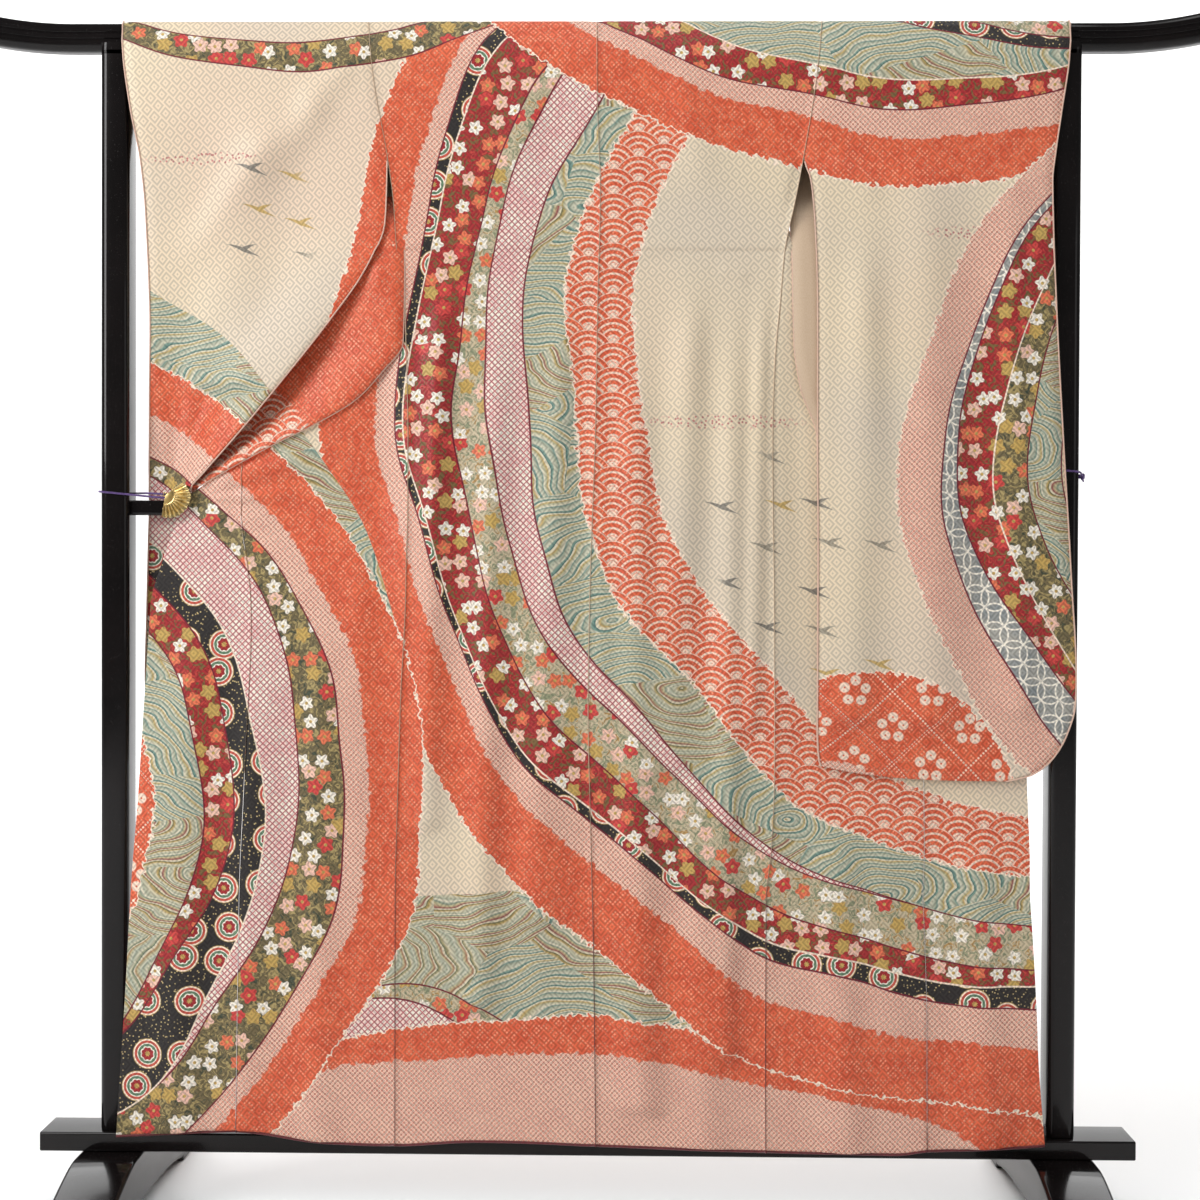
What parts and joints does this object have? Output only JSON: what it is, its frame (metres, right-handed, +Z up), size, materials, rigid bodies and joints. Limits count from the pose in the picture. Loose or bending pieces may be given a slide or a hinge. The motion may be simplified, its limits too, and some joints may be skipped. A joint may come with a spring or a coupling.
{
  "type": "furisode kimono on a kimono stand",
  "caption": "Long-sleeved lined silk kimono hung back outwards over the top rail of a black lacquered stand, with one sleeve held to a post by a fan-shaped clip.",
  "frame": {"origin": "on the floor under the middle of the stand", "axes": "+Z up, +X along the rails to the right of a viewer who faces the garment's back, -Y towards that viewer"},
  "size_m": [1.7496, 0.512, 1.7116],
  "materials": {
    "figured_silk": "dyed figured silk, soft sheen",
    "collar_silk": "dyed figured silk, soft sheen",
    "hem_lining": "plain wine-red silk",
    "black_lacquer": "gloss black lacquer",
    "antique_gold": "antiqued",
    "purple_cord": "braided"
  },
  "bodies": {
    "root": {"body_left": "figured_silk", "body_right": "figured_silk", "okumi_left": "figured_silk", "okumi_right": "figured_silk", "sleeve_left": "figured_silk", "sleeve_right": "figured_silk", "collar": "collar_silk", "over_collar": "collar_silk", "hem_lining_left": "hem_lining", "hem_lining_right": "hem_lining", "top_rail": "black_lacquer", "post_left": "black_lacquer", "post_right": "black_lacquer", "middle_bar": "black_lacquer", "foot_rail": "black_lacquer", "foot_left": "black_lacquer", "foot_right": "black_lacquer", "fan_clip": "antique_gold", "clip_cord": "purple_cord", "post_cord": "purple_cord", "post_cord_knot": "purple_cord"}
  },
  "joints": []
}
